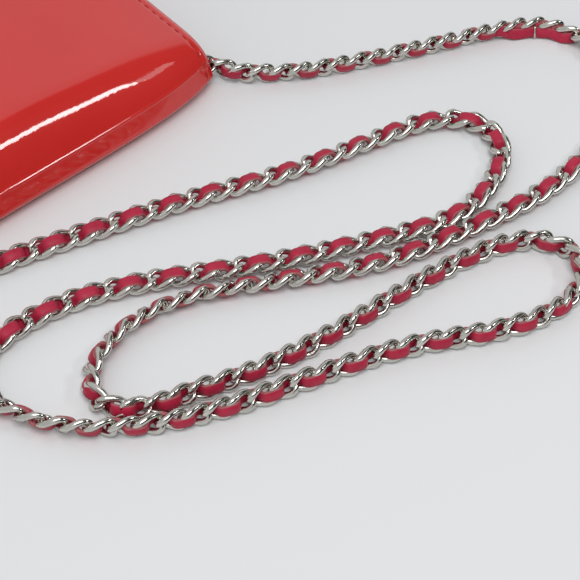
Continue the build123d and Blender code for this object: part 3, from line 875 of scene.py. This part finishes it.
def flap_stitches(grid, across):
    """The seam round the flap's sides and free edge, and on round the fold's two ends."""
    half = FLAP_HALF - STITCH_INSET
    radius = FLAP_CORNER - STITCH_INSET
    plan = [(half, y) for y in np.linspace(MOUTH_Y, FLAP_FREE_Y - FLAP_CORNER, 30)]
    for turn in np.linspace(0, math.pi / 2, 16)[1:]:
        plan.append((
            half - radius + radius * math.cos(turn), FLAP_FREE_Y - FLAP_CORNER + radius * math.sin(turn)
        ))
    plan += [(x, FLAP_FREE_Y - STITCH_INSET) for x in np.linspace(half - radius, 0, 40)[1:]]
    right, right_out = on_surface(plan, crown, drop=SEAM_GROOVE * MM)
    column = int(np.abs(across - half).argmin())
    first = BACK_ROWS + UNDER_ROWS
    end = first + LOWER_ROWS + len(CREASE_STEPS) + OVER_ROWS - 1
    round_fold = grid[column, first:end]
    fold_out = grid_normals(grid)[column, first:end]
    right = np.concatenate([round_fold, right])
    right_out = np.concatenate([fold_out, right_out])
    mirror = np.array((-1, 1, 1))
    parts = stitch_row(right, right_out) + stitch_row(right * mirror, right_out * mirror)
    under, under_out = on_surface(plan, inner_crown, drop=FLAP_LINING_DROP - 0.15 * MM)
    parts += stitch_row(under, -under_out) + stitch_row(under * mirror, -under_out * mirror)
    thread = piece("flap_stitches", *gather(parts), [THREAD])
    follow_flap(thread)


def flap_lining():
    """The leather under the flap, sewn to it round the rim."""
    half = FLAP_HALF - 0.5 * MM
    free = FLAP_FREE_Y - 0.5 * MM
    rows = []
    for x in stations(half, 60, 22 * MM, 24):
        past = max(0.0, abs(x) - (half - FLAP_CORNER))
        end_y = free - FLAP_CORNER + math.sqrt(max(FLAP_CORNER ** 2 - past ** 2, 0.0))
        share = 1 - (1 - np.linspace(0, 1, 64)) ** 1.2
        row = []
        for y in LINING_START_Y + share * (end_y - LINING_START_Y):
            inset = inset_from_rim(x, y, half, free, FLAP_CORNER)
            pinch = 0.45 * MM * math.exp(-((inset / (1.6 * MM)) ** 2))
            row.append((x, y, inner_crown(x, y) - FLAP_LINING_DROP + pinch))
        rows.append(row)
    lining = shell("flap_lining_leather", np.array(rows[::-1]), FLAP_LINING,
                   [LINING_LEATHER, LINING_LEATHER, EDGE], hole=(*SNAP, SNAP_HOLE))
    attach(lining, "flap")
    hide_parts("flap_lining")


def front_leather():
    """The patent leather of the front, turned down over the base."""
    rows = []
    for x in stations(FRONT_HALF, 66, 10 * MM, 16):
        side = edge_roll(FRONT_HALF - abs(x))
        row = []
        for y in np.linspace(FRONT_LOW.y, BASE_Y - BASE_ROUND - 0.2 * MM, 62):
            row.append((x, y, inner_crown(x, y) - FRONT_DROP - side - edge_roll(y - FRONT_LOW.y)))
        top = row[-1][2]
        for turn in np.linspace(0, math.pi / 2, 9):
            y = BASE_Y - BASE_ROUND + BASE_ROUND * math.sin(turn)
            row.append((x, y, top - BASE_ROUND * (1 - math.cos(turn))))
        low = row[-1][2]
        for z in np.linspace(low, 0.25 * MM, 16)[1:]:
            row.append((x, BASE_Y - side * 0.5, z))
        rows.append(row)
    looks = [PATENT, LINING_LEATHER, EDGE]
    skin = shell("front_leather", np.array(rows), LEATHER, looks, hole=(*SNAP, SNAP_HOLE))
    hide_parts("front_panel", "base_panel")
    follow_front(skin)

    def face(x, y):
        return inner_crown(x, y) - FRONT_DROP

    half = FRONT_HALF - STITCH_INSET
    mouth = FRONT_LOW.y + STITCH_INSET
    side_y = np.linspace(BASE_Y - BASE_ROUND - 3 * MM, mouth, 50)
    plan = [(-half, y) for y in side_y]
    plan += [(x, mouth) for x in np.linspace(-half, half, 90)[1:]]
    plan += [(half, y) for y in side_y[::-1][1:]]
    stitches = stitch_row(*on_surface(plan, face, drop=SEAM_GROOVE * MM))
    thread = piece("front_stitches", *gather(stitches), [THREAD])
    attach(thread, "front")


def gussets():
    """Each end's leather, folded inwards in a soft V between the back and the front."""
    low_z = GUSSET_LOW.z
    for name, side in (("left", -1), ("right", 1)):
        rows = []
        for y in np.linspace(GUSSET_LOW.y, GUSSET_HIGH.y, 44):
            top = inner_crown(FRONT_HALF, y) - GUSSET_DROP
            row = []
            for t in np.linspace(-1, 1, 23):
                depth = GUSSET_DEPTH * (1 - math.sqrt(t * t * 0.97 + 0.03))
                sag = 0.25 * MM * noise.noise(Vector((side * 3, y * 60, t)))
                x = side * (FRONT_HALF - 0.1 * MM - depth - abs(sag))
                row.append((x, y, low_z + (top - low_z) * (t + 1) / 2))
            rows.append(row)
        grid = np.array(rows if side > 0 else rows[::-1])
        leather = shell("gusset_leather_" + name, grid, 0.9 * MM, [PATENT, LINING_LEATHER, EDGE])
        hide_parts("gusset_" + name)
        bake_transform(leather)


def pocket_leaf(name, like, corner, material, seam=True):
    """A thin leaf of a pocket with two rounded corners at its mouth and, when seam is set, a sewn
    line's groove below it."""
    low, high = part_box(like)
    thickness = high.z - low.z
    rows = []
    middle = (low.x + high.x) / 2
    half = (high.x - low.x) / 2
    for x in stations(half, 40, 6 * MM, 12):
        past = max(0.0, abs(x) - (half - corner))
        mouth = low.y + corner - math.sqrt(max(corner ** 2 - past ** 2, 0.0))
        row = []
        for t in np.linspace(0, 1, 40) ** 1.4:
            y = mouth + t * (high.y - mouth)
            inset = y - mouth
            groove = 0.10 * MM * math.exp(-(((inset - 2.2 * MM) / (0.5 * MM)) ** 2)) if seam else 0.0
            wave = 0.04 * MM * noise.noise(Vector((x * 40, y * 40, low.z * 900)))
            row.append((middle + x, y, high.z - 0.04 * MM - groove + wave))
        rows.append(row)
    leaf = shell(name, np.array(rows), thickness * 0.85, [material, material, material])
    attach(leaf, "bag")
    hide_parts(like)


def inside():
    """The card slots and the zip pocket's walls."""
    for column in ("left", "right"):
        for row in ("1", "2", "3"):
            like = "card_slot_" + column + "_" + row
            pocket_leaf(like + "_leather", like, 4 * MM, LINING_LEATHER)
    pocket_leaf("card_backing_leather", "card_backing", 2 * MM, LINING_LEATHER, seam=False)
    for wall in ("rear", "front"):
        like = "pocket_wall_" + wall
        pocket_leaf(like + "_cloth", like, 3 * MM, LINING_FABRIC)


def soften(name, body, material, width, lift=0.0):
    """A small hard part as the CAD model has it, with its edges rounded over."""
    node = nodes[name]
    shape = bmesh.new()
    shape.from_mesh(node.data)
    shape.transform(node.matrix_world)
    bmesh.ops.remove_doubles(shape, verts=shape.verts, dist=1e-6)
    bmesh.ops.dissolve_limit(shape, angle_limit=math.radians(1.5), verts=shape.verts, edges=shape.edges)
    sharp = [e for e in shape.edges if len(e.link_faces) == 2 and e.calc_face_angle() > math.radians(40)]
    bmesh.ops.bevel(
        shape, geom=sharp, offset=width, segments=3, profile=0.5, affect="EDGES", clamp_overlap=True,
    )
    bmesh.ops.translate(shape, vec=(0, 0, lift), verts=shape.verts)
    data = bpy.data.meshes.new(name + "_worn")
    shape.to_mesh(data)
    shape.free()
    data.materials.append(material)
    data.polygons.foreach_set("use_smooth", np.full(len(data.polygons), True))
    made = bpy.data.objects.new(name + "_worn", data)
    bpy.context.scene.collection.objects.link(made)
    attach(made, body)
    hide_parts(name)


def hardware():
    """The tabs, rivets, snap and zipper parts, with their edges worn round."""
    for side in ("left", "right"):
        soften("ring_tab_" + side, "bag", PATENT, 0.28 * MM)
        soften("tab_rivet_" + side, "bag", SILVER, 0.12 * MM)
        soften("zipper_stop_" + side, "bag", SILVER, 0.20 * MM)
    soften("snap_socket", "front", SNAP_METAL, 0.15 * MM, lift=0.33 * MM)
    soften("snap_stud", "flap", SNAP_METAL, 0.15 * MM, lift=-0.12 * MM)
    soften("zipper_slider", "slider", SILVER, 0.12 * MM)
    soften("zipper_pull", "pull", SILVER, 0.14 * MM)


# ---------------------------------------------------------------- dressing the CAD nodes

def dress():
    """Gives every CAD node that stays its material."""
    looks = {
        "patent_leather": PATENT,
        "lining_leather": LINING_LEATHER,
        "lining_fabric": LINING_FABRIC,
        "board": BOARD,
        "zipper_tape": TAPE,
        "silver_metal": SILVER,
        "strap_lace": LACE,
    }
    for part in frame["record"]["subparts"]:
        name = part["node"]
        node = nodes[name]
        node.data.materials.clear()
        node.data.materials.append(SNAP_METAL if name.startswith("snap") else looks[part["material_slot"]])


# ---------------------------------------------------------------- stage

TABLE_HALF = 6.0
# The room is bright, except round the direction of DARK_SIDE, which the patent leather mirrors
DARK_SIDE = (0.457, -0.762, 0.457)
ROOM_STOPS = [(0.0, 0.95), (0.455, 1.05), (0.57, 0.11), (1.0, 0.06)]
ROOM_STRENGTH = 0.64
# Each light's name, place, target, width and length, and power
LIGHTS = [
    ("overhead", (-0.25, -0.60, 1.25), (0.0, -0.15, 0), (0.8, 0.8), 9.4),
    ("window", (0.78, -0.90, 1.02), (0.05, -0.08, 0), (0.44, 0.11), 2.4),
    ("window_far", (1.09, -0.63, 1.02), (0.05, -0.08, 0), (0.40, 0.10), 0.25),
]
CAMERA_PLACE = (-0.15881, -0.35839, 0.318)
CAMERA_LENS = 105.5
CAMERA_HEADING = 43.725  # degrees from +Y towards +X
CAMERA_DOWN = 46  # degrees below level

def aim(thing, target):
    """Turns a light or camera to look at a target."""
    thing.rotation_euler = (Vector(target) - thing.location).to_track_quat("-Z", "Y").to_euler()


def area_light(name, place, target, size, power):
    data = bpy.data.lights.new(name, "AREA")
    data.shape = "RECTANGLE"
    data.size, data.size_y = size
    data.energy = power
    made = bpy.data.objects.new(name, data)
    made.location = place
    bpy.context.scene.collection.objects.link(made)
    aim(made, target)


def make_stage():
    half = TABLE_HALF
    floor = piece(
        "table_top", [(-half, -half, 0), (half, -half, 0), (half, half, 0), (-half, half, 0)], [[0, 1, 2, 3]],
        [table_top()], smooth=False,
    )
    world = bpy.data.worlds.new("studio")
    bpy.context.scene.world = world
    world.use_nodes = True
    tree = world.node_tree
    direction = tree.nodes.new("ShaderNodeTexCoord").outputs["Generated"]
    facing = tree.nodes.new("ShaderNodeVectorMath")
    facing.operation = "DOT_PRODUCT"
    facing.inputs[1].default_value = Vector(DARK_SIDE).normalized()
    tree.links.new(direction, facing.inputs[0])
    ramp = tree.nodes.new("ShaderNodeValToRGB")
    while len(ramp.color_ramp.elements) < len(ROOM_STOPS):
        ramp.color_ramp.elements.new(0.5)
    for element, (position, value) in zip(ramp.color_ramp.elements, ROOM_STOPS):
        element.position = position
        element.color = (value * 0.99, value, value * 1.01, 1)
    tree.links.new(facing.outputs["Value"], ramp.inputs["Fac"])
    tree.links.new(ramp.outputs["Color"], tree.nodes["Background"].inputs["Color"])
    tree.nodes["Background"].inputs["Strength"].default_value = ROOM_STRENGTH
    for light in LIGHTS:
        area_light(*light)
    bpy.context.scene.view_settings.view_transform = "Standard"


def make_camera():
    data = bpy.data.cameras.new("camera")
    data.sensor_width = 36
    data.lens = CAMERA_LENS
    camera = bpy.data.objects.new("camera", data)
    bpy.context.scene.collection.objects.link(camera)
    camera.location = CAMERA_PLACE
    heading, down = math.radians(CAMERA_HEADING), math.radians(CAMERA_DOWN)
    level = math.cos(down)
    forward = Vector((math.sin(heading) * level, math.cos(heading) * level, -math.sin(down)))
    camera.rotation_euler = forward.to_track_quat("-Z", "Y").to_euler()
    data.clip_start = 0.01
    bpy.context.scene.camera = camera


make_camera()
make_stage()
dress()
make_strap()
outer_leather()
flap_lining()
front_leather()
gussets()
inside()
hardware()
